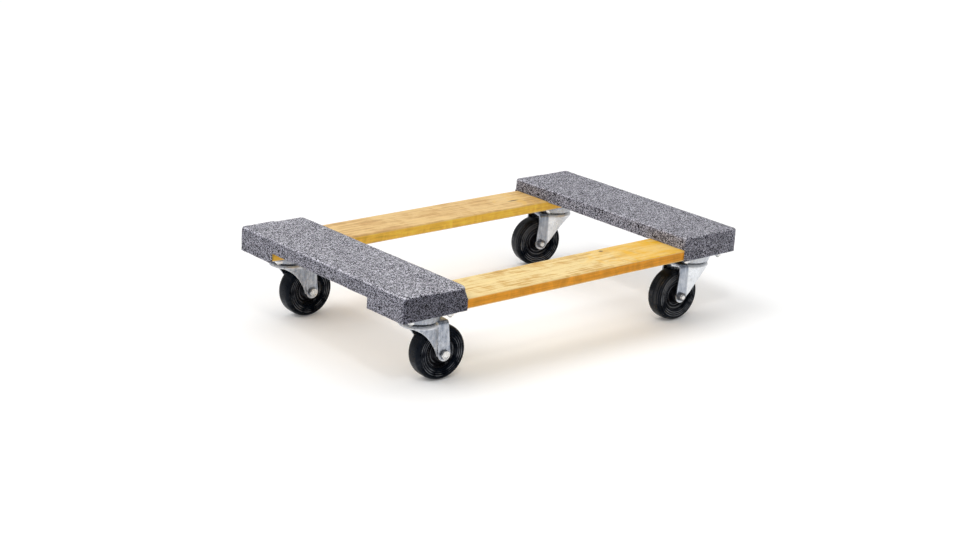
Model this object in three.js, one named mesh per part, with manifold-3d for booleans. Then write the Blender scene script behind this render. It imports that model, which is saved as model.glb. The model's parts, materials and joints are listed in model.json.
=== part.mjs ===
// Furniture dolly: two hardwood rails under two carpet-wrapped crossboards, rolling on four swivel plate casters.
// Millimetres, +Z up. X runs along the rails, Y across them, and the origin is on the floor under the middle.

import * as THREE from 'three';
import { ConvexGeometry } from 'three/addons/geometries/ConvexGeometry.js';
import { mergeVertices } from 'three/addons/utils/BufferGeometryUtils.js';
import Module from 'manifold-3d';

const wasm = await Module();
wasm.setup();

// ---------- driving dimensions ----------

const GAP = 0.3; // between pieces that touch
const THROUGH = 5; // how far a cutting tool runs past the face it cuts

const DECK_LENGTH = 762;
const DECK_WIDTH = 457.2;
const DECK_TOP = 166;
const BOARD_THICK = 19;
const RAIL_WIDTH = 88;
const PAD_WIDTH = 131.4; // along X, over the carpet
const EASED_EDGE = 2;
const PAD_EDGE = 10; // rounded top edges and corners of a carpeted pad

const CARPET_TOP = 3.8;
const CARPET_SIDE = 2.6;
const CARPET_HANG = 0.6; // how far the skirts reach below the rails
const SKIRT_OVERLAP = 3; // how far an end skirt runs past its rail
const CARPET_FLAP = 26; // width folded under a crossboard, between the rails

const KINGPIN_X = 312;
const KINGPIN_Y = 183;
const TRAIL = 37; // from the kingpin to the axle
const AXLE_HEIGHT = 47.3;
const SWIVEL = { near_left: -5.5, far_left: -1.5, near_right: 177, far_right: 167 }; // trail direction, degrees

const WHEEL_SIDES = 24; // flats round a wheel, one of them on the floor
const WHEEL_RADIUS = AXLE_HEIGHT / Math.cos(Math.PI / WHEEL_SIDES);
const TYRE_HALF = 16;
const TYRE_INNER = 27;
const CORE_HALF = 12.5;
const HUB_RADIUS = 14;
const HUB_HALF = 20;

const PLATE_LENGTH = 104;
const PLATE_WIDTH = 80;
const PLATE_THICK = 3;
const PLATE_CORNER = 9;
const BOLT_X = 40;
const BOLT_Y = 30;
const BOLT_SIDES = 8;
const BOLT_RADIUS = 3.2;
const HOLE_RADIUS = 3.8;
const BOLT_HEAD_RADIUS = 8;
const BOLT_HEAD_THICK = 3;
const BOLT_NUT_THICK = 5.5;
const BOLT_NUT_RADIUS = 6.4; // across the corners, halved
const BOLT_END = 3;

const DISH_RADIUS = 33; // outside of the pressed race at its lowest
const DISH_MOUTH = 38;
const DISH_BOTTOM = 107.2;
const DISH_FLOOR = 108; // underside round the kingpin
const RACE_ROOF = 111.6; // underside over the balls
const RACE_RADIUS = 23;
const BALL_RADIUS = 3;
const RACE_SIDES = 20;

const CROWN_TOP = 105;
const CROWN_RADIUS = 33;
const CROWN_REAR = 43;
const CROWN_BEND = 6;
const CROWN_LIP = 6.5; // depth of the turned-down front rim
const SHEET = 2.8;
const LEG_OUTSIDE = 23.5;
const LEG_CREASE = 12; // from the axle forward to where the leg starts to flare
const LEG_TIP = 11.5;
const CROWN_STEPS = 12;

const KINGPIN_RADIUS = 5.5;
const KINGPIN_HEAD = 9;
const KINGPIN_FOOT = 12;
const KINGPIN_FOOT_THICK = 3;
const KINGPIN_CLEAR = 1.2;

const AXLE_RADIUS = 4.8;
const AXLE_HOLE = 5.25;
const AXLE_HEX = 8.25; // across the corners, halved
const AXLE_HEAD_THICK = 5;
const AXLE_NUT_THICK = 5;
const AXLE_END = 1.8;
const SLEEVE_RADIUS = 9.1;
const CORE_BORE = 9.6;

// ---------- heights and places that follow ----------

const CARPET_BOTTOM = DECK_TOP - CARPET_TOP - 2 * GAP - 2 * BOARD_THICK - CARPET_HANG;
const RAIL_BOTTOM = CARPET_BOTTOM + CARPET_HANG;
const RAIL_TOP = RAIL_BOTTOM + BOARD_THICK;
const CROSS_BOTTOM = RAIL_TOP + GAP;
const CROSS_TOP = CROSS_BOTTOM + BOARD_THICK;
const FOLD_TOP = CROSS_BOTTOM - GAP;
const FOLD_BOTTOM = FOLD_TOP - CARPET_SIDE;
const BOARD_END_X = DECK_LENGTH / 2 - CARPET_SIDE - GAP;
const BOARD_END_Y = DECK_WIDTH / 2 - CARPET_SIDE - GAP;
const RAIL_INNER_Y = BOARD_END_Y - RAIL_WIDTH;
const PAD_INNER_X = DECK_LENGTH / 2 - PAD_WIDTH;
const CROSS_INNER_X = PAD_INNER_X + CARPET_SIDE + GAP;
const PLATE_TOP = RAIL_BOTTOM - GAP;
const PLATE_BOTTOM = PLATE_TOP - PLATE_THICK;
const LEG_INSIDE = LEG_OUTSIDE - SHEET;

// ---------- materials ----------

function finish(color, roughness, metalness) {
  return new THREE.MeshStandardMaterial({ color, roughness, metalness });
}

const WOOD = [0xd8a75e, 0.45, 0];
const CARPET = [0x67676e, 1, 0];
const ZINC = [0xb9bfc4, 0.38, 0.9];
const STEEL = [0xa8aaac, 0.35, 0.9];
const BALL_STEEL = [0xd0d2d4, 0.15, 1];
const RUBBER = [0x15161a, 0.5, 0];
const CORE_PLASTIC = [0x0f1012, 0.6, 0];

// ---------- solids ----------

function solid(geometry) {
  const bare = geometry.clone();
  bare.deleteAttribute('normal');
  bare.deleteAttribute('uv');
  const welded = mergeVertices(bare);
  return new wasm.Manifold(new wasm.Mesh({
    numProp: 3,
    vertProperties: welded.attributes.position.array,
    triVerts: new Uint32Array(welded.index.array),
  }));
}

function surface(manifold) {
  const mesh = manifold.getMesh();
  const geometry = new THREE.BufferGeometry();
  geometry.setAttribute('position', new THREE.BufferAttribute(mesh.vertProperties, 3));
  geometry.setIndex(new THREE.BufferAttribute(mesh.triVerts, 1));
  geometry.computeVertexNormals();
  return geometry;
}

function block(x0, x1, y0, y1, z0, z1) {
  const geometry = new THREE.BoxGeometry(x1 - x0, y1 - y0, z1 - z0);
  return solid(geometry.translate((x0 + x1) / 2, (y0 + y1) / 2, (z0 + z1) / 2));
}

function upright(radius, z0, z1, sides, x = 0, y = 0) {
  const geometry = new THREE.CylinderGeometry(radius, radius, z1 - z0, sides);
  return solid(geometry.rotateX(Math.PI / 2).translate(x, y, (z0 + z1) / 2));
}

function across(radius, y0, y1, sides) {
  const geometry = new THREE.CylinderGeometry(radius, radius, y1 - y0, sides);
  return solid(geometry.translate(0, (y0 + y1) / 2, 0));
}

// Turns a closed [radius, height] outline about the Z axis.
function turnedUpright(outline, sides) {
  return turned(outline, sides).rotateX(Math.PI / 2);
}

// Turns a closed [radius, y] outline about the Y axis, with a flat at the bottom.
function turned(outline, sides) {
  const points = [...outline, outline[0]].map(([radius, y]) => new THREE.Vector2(radius, y));
  return new THREE.LatheGeometry(points, sides, Math.PI / sides);
}

function roundedRectangle(width, height, radius) {
  const shape = new THREE.Shape();
  const x = width / 2 - radius;
  const y = height / 2 - radius;
  shape.absarc(x, y, radius, 0, Math.PI / 2);
  shape.absarc(-x, y, radius, Math.PI / 2, Math.PI);
  shape.absarc(-x, -y, radius, Math.PI, 1.5 * Math.PI);
  shape.absarc(x, -y, radius, 1.5 * Math.PI, 2 * Math.PI);
  shape.closePath();
  return shape;
}

// A block whose upright edges and top edges are rounded to one radius.
function pillow(x0, x1, y0, y1, z0, z1, radius, steps) {
  const points = [];
  for (const [cornerX, cornerY, start] of [
    [x1 - radius, y1 - radius, 0],
    [x0 + radius, y1 - radius, 1],
    [x0 + radius, y0 + radius, 2],
    [x1 - radius, y0 + radius, 3],
  ]) {
    for (let i = 0; i <= steps; i += 1) {
      const turn = (start + i / steps) * Math.PI / 2;
      points.push(new THREE.Vector3(cornerX + radius * Math.cos(turn), cornerY + radius * Math.sin(turn), z0));
      for (let j = 0; j <= steps; j += 1) {
        const rise = j / steps * Math.PI / 2;
        const reach = radius * Math.cos(rise);
        points.push(new THREE.Vector3(
          cornerX + reach * Math.cos(turn),
          cornerY + reach * Math.sin(turn),
          z1 - radius + radius * Math.sin(rise),
        ));
      }
    }
  }
  return solid(new ConvexGeometry(points));
}

// ---------- the deck ----------

const dolly = new THREE.Group();
dolly.name = 'furniture_dolly';

function add(parent, name, geometry, material) {
  const mesh = new THREE.Mesh(geometry, finish(...material));
  mesh.name = name;
  parent.add(mesh);
  return mesh;
}

const SIDES = [-1, 1];

function boltPlaces() {
  const places = [];
  for (const sx of SIDES) {
    for (const sy of SIDES) {
      for (const bx of SIDES) {
        for (const by of SIDES) {
          places.push([sx * KINGPIN_X + bx * BOLT_X, sy * KINGPIN_Y + by * BOLT_Y]);
        }
      }
    }
  }
  return places;
}

// A full-length rail with eased edges, drilled for both casters' bolts.
function rail(side) {
  const section = roundedRectangle(BOARD_THICK, RAIL_WIDTH, EASED_EDGE);
  const geometry = new THREE.ExtrudeGeometry(section, { depth: 2 * BOARD_END_X, bevelEnabled: false, curveSegments: 2 });
  const centreY = side * (BOARD_END_Y - RAIL_WIDTH / 2);
  let board = solid(geometry.rotateY(Math.PI / 2).translate(-BOARD_END_X, centreY, (RAIL_BOTTOM + RAIL_TOP) / 2));
  for (const [x, y] of boltPlaces().filter((place) => Math.sign(place[1]) === side)) {
    board = board.subtract(upright(HOLE_RADIUS, RAIL_BOTTOM - THROUGH, RAIL_TOP + THROUGH, BOLT_SIDES, x, y));
  }
  return surface(board);
}

// A crossboard with a rounded top, drilled and counterbored for the carriage bolts of its two casters.
function crossboard(side) {
  const near = Math.min(side * CROSS_INNER_X, side * BOARD_END_X);
  const far = Math.max(side * CROSS_INNER_X, side * BOARD_END_X);
  const edge = PAD_EDGE - CARPET_SIDE - GAP;
  let board = pillow(near, far, -BOARD_END_Y, BOARD_END_Y, CROSS_BOTTOM, CROSS_TOP, edge, 2);
  for (const [x, y] of boltPlaces().filter((place) => Math.sign(place[0]) === side)) {
    board = board.subtract(upright(HOLE_RADIUS, CROSS_BOTTOM - THROUGH, CROSS_TOP + THROUGH, BOLT_SIDES, x, y));
    const seat = CROSS_TOP - BOLT_HEAD_THICK - GAP;
    board = board.subtract(upright(BOLT_HEAD_RADIUS + 3 * GAP, seat, CROSS_TOP + THROUGH, BOLT_SIDES, x, y));
  }
  return surface(board);
}

// Carpet over a crossboard: it covers the top and all four sides, and hangs down over the rails' ends and sides.
function carpet(side) {
  const outer = side * DECK_LENGTH / 2;
  const inner = side * PAD_INNER_X;
  const [x0, x1] = [Math.min(outer, inner), Math.max(outer, inner)];
  const halfY = DECK_WIDTH / 2;
  let wrap = pillow(x0, x1, -halfY, halfY, CARPET_BOTTOM, DECK_TOP, PAD_EDGE, 3);
  const edge = PAD_EDGE - CARPET_SIDE;
  const boardEnd = side * (BOARD_END_X + GAP);
  const boardInner = side * (CROSS_INNER_X - GAP);
  const [b0, b1] = [Math.min(boardEnd, boardInner), Math.max(boardEnd, boardInner)];
  const boardY = BOARD_END_Y + GAP;
  wrap = wrap.subtract(pillow(b0, b1, -boardY, boardY, CROSS_BOTTOM - THROUGH, CROSS_TOP + GAP, edge, 2));
  const openEnd = side * (PAD_INNER_X - THROUGH);
  const [r0, r1] = [Math.min(boardEnd, openEnd), Math.max(boardEnd, openEnd)];
  wrap = wrap.subtract(block(r0, r1, -boardY, boardY, CARPET_BOTTOM - THROUGH, CROSS_BOTTOM));
  const skirtY = RAIL_INNER_Y - SKIRT_OVERLAP;
  wrap = wrap.subtract(block(x0 - THROUGH, x1 + THROUGH, -skirtY, skirtY, CARPET_BOTTOM - THROUGH, CROSS_BOTTOM));
  for (const [edgeX, inward] of [[x0, 1], [x1, -1]]) {
    const wallX = edgeX + inward * CARPET_SIDE;
    const flapX = edgeX + inward * CARPET_FLAP;
    const overWall = CROSS_BOTTOM + THROUGH;
    wrap = wrap.add(block(Math.min(edgeX, wallX), Math.max(edgeX, wallX), -skirtY, skirtY, FOLD_BOTTOM, overWall));
    wrap = wrap.add(block(Math.min(edgeX, flapX), Math.max(edgeX, flapX), -skirtY, skirtY, FOLD_BOTTOM, FOLD_TOP));
  }
  return surface(wrap);
}

for (const [name, side] of [['near', -1], ['far', 1]]) {
  add(dolly, `rail_${name}`, rail(side), WOOD);
}
for (const [name, side] of [['left', -1], ['right', 1]]) {
  add(dolly, `crossboard_${name}`, crossboard(side), WOOD);
  add(dolly, `carpet_${name}`, carpet(side), CARPET);
}

// ---------- fixed part of a caster: top plate, kingpin and the four carriage bolts ----------

// A stamped plate with its middle pressed down into the upper half of the ball race.
function topPlate() {
  const holder = roundedRectangle(PLATE_LENGTH, PLATE_WIDTH, PLATE_CORNER);
  const flat = new THREE.ExtrudeGeometry(holder, { depth: PLATE_THICK, bevelEnabled: false, curveSegments: 3 });
  let plate = solid(flat.translate(0, 0, PLATE_BOTTOM));
  plate = plate.subtract(upright(DISH_MOUTH - 1, PLATE_BOTTOM - THROUGH, PLATE_TOP + THROUGH, RACE_SIDES));
  for (const bx of SIDES) {
    for (const by of SIDES) {
      const [x, y] = [bx * BOLT_X, by * BOLT_Y];
      plate = plate.subtract(upright(HOLE_RADIUS, PLATE_BOTTOM - THROUGH, PLATE_TOP + THROUGH, BOLT_SIDES, x, y));
    }
  }
  const shoulder = 1.5;
  const raceIn = RACE_RADIUS - BALL_RADIUS - shoulder;
  const raceOut = RACE_RADIUS + BALL_RADIUS + shoulder;
  const lip = DISH_RADIUS - PLATE_THICK;
  const bore = KINGPIN_RADIUS + 2 * GAP;
  const dish = turnedUpright([
    [bore, DISH_FLOOR],
    [raceIn - shoulder, DISH_FLOOR],
    [raceIn, RACE_ROOF],
    [raceOut, RACE_ROOF],
    [lip, DISH_BOTTOM],
    [DISH_RADIUS, DISH_BOTTOM],
    [DISH_MOUTH, PLATE_BOTTOM],
    [DISH_MOUTH + shoulder, PLATE_BOTTOM],
    [DISH_MOUTH + shoulder, PLATE_TOP],
    [DISH_MOUTH - PLATE_THICK, PLATE_TOP],
    [lip, RACE_ROOF + PLATE_THICK],
    [raceIn - shoulder, RACE_ROOF + PLATE_THICK],
    [raceIn - PLATE_THICK - shoulder, DISH_FLOOR + PLATE_THICK],
    [bore, DISH_FLOOR + PLATE_THICK],
  ], RACE_SIDES);
  return surface(plate.add(solid(dish)));
}

// The riveted pin that ties the fork to the plate: head in the dish, shank, and the spread foot under the crown.
function kingpin() {
  const footTop = CROWN_TOP - SHEET - KINGPIN_CLEAR;
  const footBottom = footTop - KINGPIN_FOOT_THICK;
  const seat = DISH_FLOOR + PLATE_THICK + GAP;
  return turnedUpright([
    [0, footBottom],
    [KINGPIN_FOOT - 2, footBottom],
    [KINGPIN_FOOT, footTop],
    [KINGPIN_RADIUS, footTop],
    [KINGPIN_RADIUS, seat],
    [KINGPIN_HEAD, seat],
    [KINGPIN_HEAD - 2, seat + PLATE_THICK],
    [0, seat + PLATE_THICK],
  ], 16);
}

// A carriage bolt down through both boards and the plate, with its nut underneath.
function carriageBolt() {
  const nutTop = PLATE_BOTTOM - GAP;
  const nutBottom = nutTop - BOLT_NUT_THICK;
  const headTop = CROSS_TOP;
  const headBottom = headTop - BOLT_HEAD_THICK;
  const pin = turnedUpright([
    [0, nutBottom - BOLT_END],
    [BOLT_RADIUS, nutBottom - BOLT_END],
    [BOLT_RADIUS, headBottom],
    [BOLT_HEAD_RADIUS, headBottom],
    [BOLT_HEAD_RADIUS * 0.8, headTop - 1],
    [0, headTop],
  ], BOLT_SIDES);
  return surface(solid(pin).add(upright(BOLT_NUT_RADIUS, nutBottom, nutTop, 6)));
}

// ---------- turning part of a caster ----------

// The fork's outside or inside: under the round crown a cone runs down to the crease, and behind it the legs are flat.
function forkBody(inset, top) {
  const radius = CROWN_RADIUS - inset;
  const half = LEG_OUTSIDE - inset;
  const bend = CROWN_BEND - inset;
  const crease = TRAIL - LEG_CREASE;
  const rear = CROWN_REAR + LEG_TIP + inset * THROUGH;
  const foot = AXLE_HEIGHT - LEG_TIP - THROUGH;
  const cone = [];
  const legs = [];
  for (let j = 0; j <= 2; j += 1) {
    const rise = j * Math.PI / 4;
    const pull = bend * (1 - Math.cos(rise));
    const z = top - bend + bend * Math.sin(rise);
    const start = Math.asin((half - pull) / (radius - pull));
    for (let i = 0; i <= CROWN_STEPS; i += 1) {
      const turn = start + (2 * Math.PI - 2 * start) * i / CROWN_STEPS;
      cone.push(new THREE.Vector3((radius - pull) * Math.cos(turn), (radius - pull) * Math.sin(turn), z));
    }
    for (const side of SIDES) {
      legs.push(new THREE.Vector3(0, side * (half - pull), z));
      legs.push(new THREE.Vector3(rear, side * (half - pull), z));
    }
  }
  for (const side of SIDES) {
    cone.push(new THREE.Vector3(crease, side * half, foot));
    legs.push(new THREE.Vector3(crease - 1, side * half, foot));
    legs.push(new THREE.Vector3(rear, side * half, foot));
  }
  return solid(new ConvexGeometry(cone)).add(solid(new ConvexGeometry(legs)));
}

// Side view of the fork: round tip at the axle, upright trailing edge, swept leading edge under the crown.
function forkOutline() {
  const shape = new THREE.Shape();
  const over = CROWN_TOP + THROUGH;
  const lip = CROWN_TOP - CROWN_LIP;
  const front = -CROWN_RADIUS - THROUGH;
  shape.moveTo(CROWN_REAR, over);
  shape.lineTo(CROWN_REAR, CROWN_TOP - CROWN_BEND);
  shape.lineTo(TRAIL + LEG_TIP, AXLE_HEIGHT + 2);
  shape.absarc(TRAIL, AXLE_HEIGHT, LEG_TIP, 0, -0.8 * Math.PI, true);
  shape.bezierCurveTo(TRAIL - 25, AXLE_HEIGHT + 18, -2, AXLE_HEIGHT + 44, -24, lip);
  shape.lineTo(front, lip);
  shape.lineTo(front, over);
  shape.closePath();
  return shape;
}

function fork() {
  const reach = CROWN_RADIUS + THROUGH;
  const side = new THREE.ExtrudeGeometry(forkOutline(), { depth: 2 * reach, bevelEnabled: false, curveSegments: 8 });
  const profile = solid(side.rotateX(Math.PI / 2).translate(0, reach, 0));
  let piece = forkBody(0, CROWN_TOP).subtract(forkBody(SHEET, CROWN_TOP - SHEET)).intersect(profile);
  piece = piece.subtract(upright(KINGPIN_RADIUS + 3 * GAP, CROWN_TOP - CROWN_BEND - THROUGH, CROWN_TOP + THROUGH, 16));
  const axleHole = across(AXLE_HOLE, -reach, reach, 12).translate(TRAIL, 0, AXLE_HEIGHT);
  return surface(piece.subtract(axleHole));
}

function ballRing() {
  return new THREE.TorusGeometry(RACE_RADIUS, BALL_RADIUS, 6, RACE_SIDES);
}

function tyre() {
  const shoulder = 3.5;
  return turned([
    [TYRE_INNER, TYRE_HALF - 3],
    [TYRE_INNER, 3 - TYRE_HALF],
    [TYRE_INNER + shoulder, -TYRE_HALF + 0.5],
    [WHEEL_RADIUS - 2 * shoulder, -TYRE_HALF],
    [WHEEL_RADIUS - 2, -TYRE_HALF + shoulder],
    [WHEEL_RADIUS, -TYRE_HALF + 3 * shoulder],
    [WHEEL_RADIUS, TYRE_HALF - 3 * shoulder],
    [WHEEL_RADIUS - 2, TYRE_HALF - shoulder],
    [WHEEL_RADIUS - 2 * shoulder, TYRE_HALF],
    [TYRE_INNER + shoulder, TYRE_HALF - 0.5],
  ], WHEEL_SIDES);
}

function wheelCore() {
  const rim = TYRE_INNER - GAP - 0.1;
  return turned([
    [CORE_BORE, HUB_HALF],
    [CORE_BORE, -HUB_HALF],
    [HUB_RADIUS, -HUB_HALF],
    [HUB_RADIUS + 1, -CORE_HALF],
    [rim, -CORE_HALF],
    [rim, CORE_HALF],
    [HUB_RADIUS + 1, CORE_HALF],
    [HUB_RADIUS, HUB_HALF],
  ], WHEEL_SIDES);
}

function axleSleeve() {
  const half = LEG_INSIDE - GAP;
  return turned([[AXLE_HOLE, half], [AXLE_HOLE, -half], [SLEEVE_RADIUS, -half], [SLEEVE_RADIUS, half]], 16);
}

function axleBolt() {
  const seat = LEG_OUTSIDE + GAP;
  const end = seat + AXLE_NUT_THICK + AXLE_END;
  const head = across(AXLE_HEX, -seat - AXLE_HEAD_THICK, -seat, 6);
  return surface(head.add(across(AXLE_RADIUS, -seat - 1, end, 12)));
}

function axleNut() {
  const seat = LEG_OUTSIDE + GAP;
  const hex = across(AXLE_HEX, seat, seat + AXLE_NUT_THICK, 6);
  return surface(hex.subtract(across(AXLE_HOLE, seat - THROUGH, seat + AXLE_NUT_THICK + THROUGH, 12)));
}

// ---------- four casters ----------

function caster(corner, x, y) {
  const fixed = new THREE.Group();
  fixed.position.set(x, y, 0);
  dolly.add(fixed);
  add(fixed, `${corner}_top_plate`, topPlate(), ZINC);
  add(fixed, `${corner}_kingpin`, kingpin(), STEEL);
  let count = 0;
  for (const bx of SIDES) {
    for (const by of SIDES) {
      count += 1;
      add(fixed, `${corner}_carriage_bolt_${count}`, carriageBolt(), STEEL).position.set(bx * BOLT_X, by * BOLT_Y, 0);
    }
  }

  const turning = new THREE.Group();
  turning.position.set(x, y, 0);
  turning.rotation.z = THREE.MathUtils.degToRad(SWIVEL[corner]);
  dolly.add(turning);
  add(turning, `${corner}_fork`, fork(), ZINC);
  const ballHeight = CROWN_TOP + GAP + BALL_RADIUS;
  add(turning, `${corner}_ball_ring`, ballRing(), BALL_STEEL).position.z = ballHeight;

  const wheel = new THREE.Group();
  wheel.position.set(TRAIL, 0, AXLE_HEIGHT);
  turning.add(wheel);
  add(wheel, `${corner}_tyre`, tyre(), RUBBER);
  add(wheel, `${corner}_wheel_core`, wheelCore(), CORE_PLASTIC);
  add(wheel, `${corner}_axle_sleeve`, axleSleeve(), STEEL);
  add(wheel, `${corner}_axle_bolt`, axleBolt(), STEEL);
  add(wheel, `${corner}_axle_nut`, axleNut(), STEEL);
}

caster('near_left', -KINGPIN_X, -KINGPIN_Y);
caster('far_left', -KINGPIN_X, KINGPIN_Y);
caster('near_right', KINGPIN_X, -KINGPIN_Y);
caster('far_right', KINGPIN_X, KINGPIN_Y);

export default dolly;
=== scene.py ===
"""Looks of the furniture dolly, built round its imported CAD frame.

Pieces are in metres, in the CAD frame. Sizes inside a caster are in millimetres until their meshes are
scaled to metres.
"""

import json
import math

import bpy
import numpy as np
from mathutils import Matrix, Vector


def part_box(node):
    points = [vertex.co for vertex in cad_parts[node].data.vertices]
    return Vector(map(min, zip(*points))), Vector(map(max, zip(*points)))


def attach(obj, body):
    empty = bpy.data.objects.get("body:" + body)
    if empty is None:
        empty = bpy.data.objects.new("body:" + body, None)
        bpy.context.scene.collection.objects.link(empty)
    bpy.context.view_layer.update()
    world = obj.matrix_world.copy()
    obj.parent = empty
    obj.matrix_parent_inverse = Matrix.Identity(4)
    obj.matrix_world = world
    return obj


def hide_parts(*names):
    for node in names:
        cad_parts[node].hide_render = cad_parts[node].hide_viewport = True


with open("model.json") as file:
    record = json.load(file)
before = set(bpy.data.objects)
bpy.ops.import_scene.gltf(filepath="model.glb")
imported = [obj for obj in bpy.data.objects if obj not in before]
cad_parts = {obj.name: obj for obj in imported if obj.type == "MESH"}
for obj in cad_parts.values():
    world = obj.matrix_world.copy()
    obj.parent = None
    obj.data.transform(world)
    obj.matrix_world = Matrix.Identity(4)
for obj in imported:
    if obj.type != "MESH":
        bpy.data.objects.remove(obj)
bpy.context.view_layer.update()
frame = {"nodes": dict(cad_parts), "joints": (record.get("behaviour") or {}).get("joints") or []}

MM = 0.001
CORNERS = ("near_left", "far_left", "near_right", "far_right")
SIDES = {"left": -1, "right": 1}
JOINTS = {joint["name"]: joint for joint in frame["joints"]}
HASH_SIZE = 4096
HASH_PRIMES = (73856093, 19349663, 83492791)

# -------- numbers and meshes


def lumps(points, size, seed):
    """Smooth noise from -1 to 1 at each point, with lumps about size across."""
    table = np.random.default_rng(seed).uniform(-1, 1, HASH_SIZE)
    cell = np.asarray(points) / size
    base = np.floor(cell).astype(np.int64)
    part = cell - base
    part = part * part * (3 - 2 * part)
    total = np.zeros(len(cell))
    for corner in range(8):
        step = np.array([corner & 1, corner >> 1 & 1, corner >> 2])
        weight = np.prod(np.where(step, part, 1 - part), axis=1)
        key = (base + step) @ np.array(HASH_PRIMES)
        total += weight * table[key % HASH_SIZE]
    return total


def smooth_step(value, start, end):
    part = np.clip((value - start) / (end - start), 0, 1)
    return part * part * (3 - 2 * part)


def point_normals(points, faces):
    """The mean normal at each point of a mesh of quads."""
    quads = np.array(faces)
    across = points[quads[:, 2]] - points[quads[:, 0]]
    along = points[quads[:, 3]] - points[quads[:, 1]]
    normal = np.cross(across, along)
    total = np.zeros_like(points)
    for corner in range(4):
        np.add.at(total, quads[:, corner], normal)
    return total / np.linalg.norm(total, axis=1, keepdims=True)


def shell(outside, inside, faces):
    """A closed sheet: the faces on both its sides, and a rim round its open edges."""
    count = len(outside)
    closed = list(faces) + [tuple(count + v for v in reversed(face)) for face in faces]
    rim = {}
    for face in faces:
        for a, b in zip(face, face[1:] + face[:1]):
            if (b, a) in rim:
                del rim[(b, a)]
            else:
                rim[(a, b)] = True
    closed += [(b, a, count + a, count + b) for a, b in rim]
    return np.vstack([outside, inside]), closed


def make_mesh(name, points, faces, sharp=35):
    mesh = bpy.data.meshes.new(name)
    mesh.from_pydata([tuple(float(c) for c in p) for p in points], [], faces)
    mesh.shade_smooth()
    mesh.set_sharp_from_angle(angle=math.radians(sharp))
    return mesh


def piece(name, mesh, material, body, stands_for=(), at=None):
    """Shows a mesh as a piece that rides on a body, in the given material.

    Pieces may share a mesh: each one's material is set on the piece itself.
    """
    obj = bpy.data.objects.new(name, mesh)
    bpy.context.scene.collection.objects.link(obj)
    if at is not None:
        obj.matrix_world = at
    if not mesh.materials:
        mesh.materials.append(material)
    obj.material_slots[0].link = "OBJECT"
    obj.material_slots[0].material = material
    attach(obj, body)
    if stands_for:
        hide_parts(*stands_for)
    return obj


def soften(obj, width):
    """Rounds the sharp edges of a piece."""
    bevel = obj.modifiers.new("soften", "BEVEL")
    bevel.width = width
    bevel.segments = 2
    bevel.limit_method = "ANGLE"
    bevel.angle_limit = math.radians(40)


def ticks(stops, steps):
    """Grid lines that hit every stop, with about the given step between each two."""
    lines = [stops[0]]
    for start, end, step in zip(stops, stops[1:], steps):
        count = max(1, round((end - start) / step))
        lines += [start + (end - start) * (i + 1) / count for i in range(count)]
    return np.array(lines)


def box_grid(xs, ys, zs, keep):
    """The outside of a box as a grid of quads.

    keep(side, low, high) says whether a cell with those corners is in it.
    """
    counts = (len(xs) - 1, len(ys) - 1, len(zs) - 1)
    lines = (xs, ys, zs)
    index, points, faces = {}, [], []

    def vertex(spot):
        if spot not in index:
            index[spot] = len(points)
            points.append([lines[axis][spot[axis]] for axis in range(3)])
        return index[spot]

    for axis in range(3):
        first, second = (axis + 1) % 3, (axis + 2) % 3
        for end in (0, 1):
            side = "xyz"[axis] + "-+"[end]
            for i in range(counts[first]):
                for j in range(counts[second]):
                    spots = []
                    for di, dj in ((0, 0), (1, 0), (1, 1), (0, 1)):
                        spot = [0, 0, 0]
                        spot[axis] = counts[axis] * end
                        spot[first] = i + di
                        spot[second] = j + dj
                        spots.append(tuple(spot))
                    corners = [[lines[a][s[a]] for a in range(3)] for s in (spots[0], spots[2])]
                    if keep(side, corners[0], corners[1]):
                        face = [vertex(s) for s in spots]
                        faces.append(tuple(face if end else reversed(face)))
    return np.array(points), faces


def rounded(points, low, high, radius):
    """Moves points on a box with sharp edges onto one with edges rounded by radius along x, y and z."""
    near = np.clip(points, low + radius, high - radius)
    part = np.tan((points - near) / radius * math.pi / 4)
    length = np.linalg.norm(part, axis=1, keepdims=True)
    return near + part / np.maximum(length, 1e-9) * radius


# -------- materials


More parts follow.
